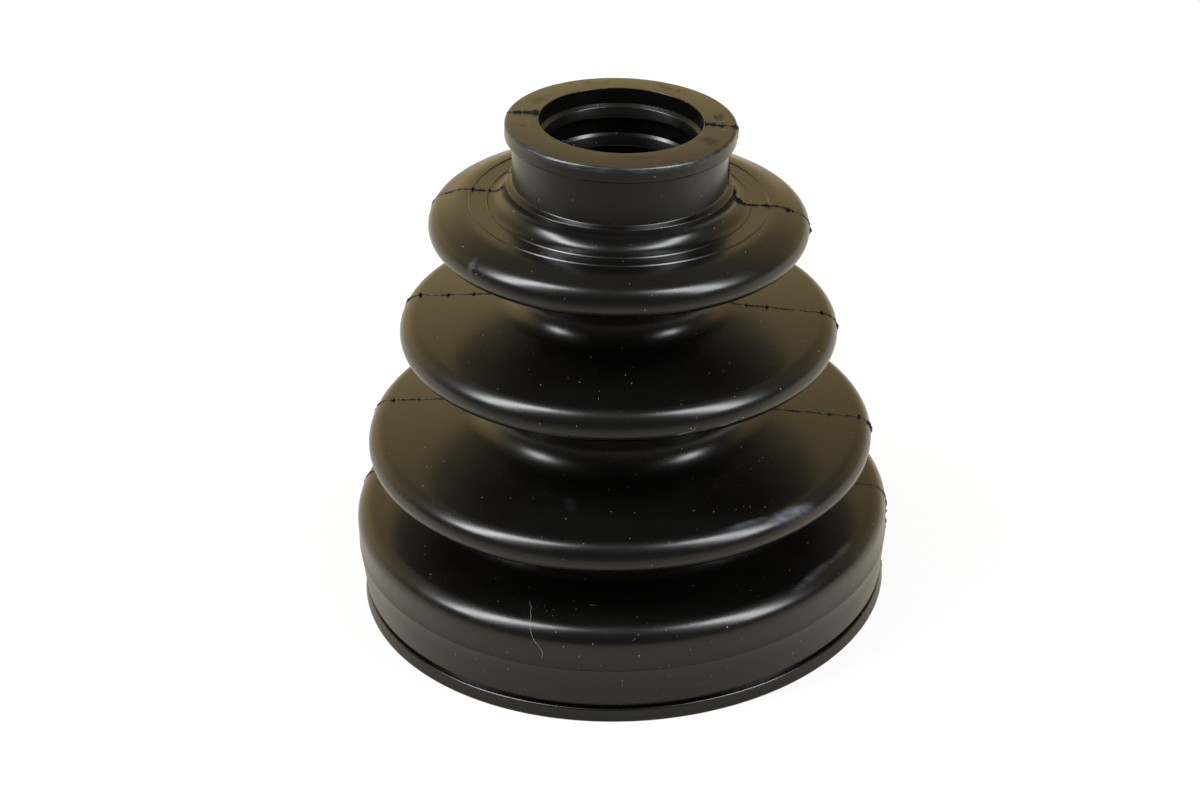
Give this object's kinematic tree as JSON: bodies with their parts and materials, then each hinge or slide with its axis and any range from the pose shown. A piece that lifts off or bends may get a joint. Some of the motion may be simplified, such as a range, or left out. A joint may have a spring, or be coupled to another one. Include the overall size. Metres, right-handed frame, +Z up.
{
  "type": "rubber bellows boot",
  "caption": "Tapered rubber bellows boot that seals a drive shaft joint, with a narrow clamped collar on top and a wide clamped mouth below.",
  "frame": {"origin": "centre of the ring that the wide end stands on", "axes": "+Z up along the boot's axis, from the wide end to the narrow collar; the mould's parting plane is XZ"},
  "size_m": [0.091, 0.091, 0.0843],
  "materials": {
    "rubber": "satin black, slightly oily"
  },
  "bodies": {
    "root": {"bellows_boot": "rubber"}
  },
  "joints": []
}
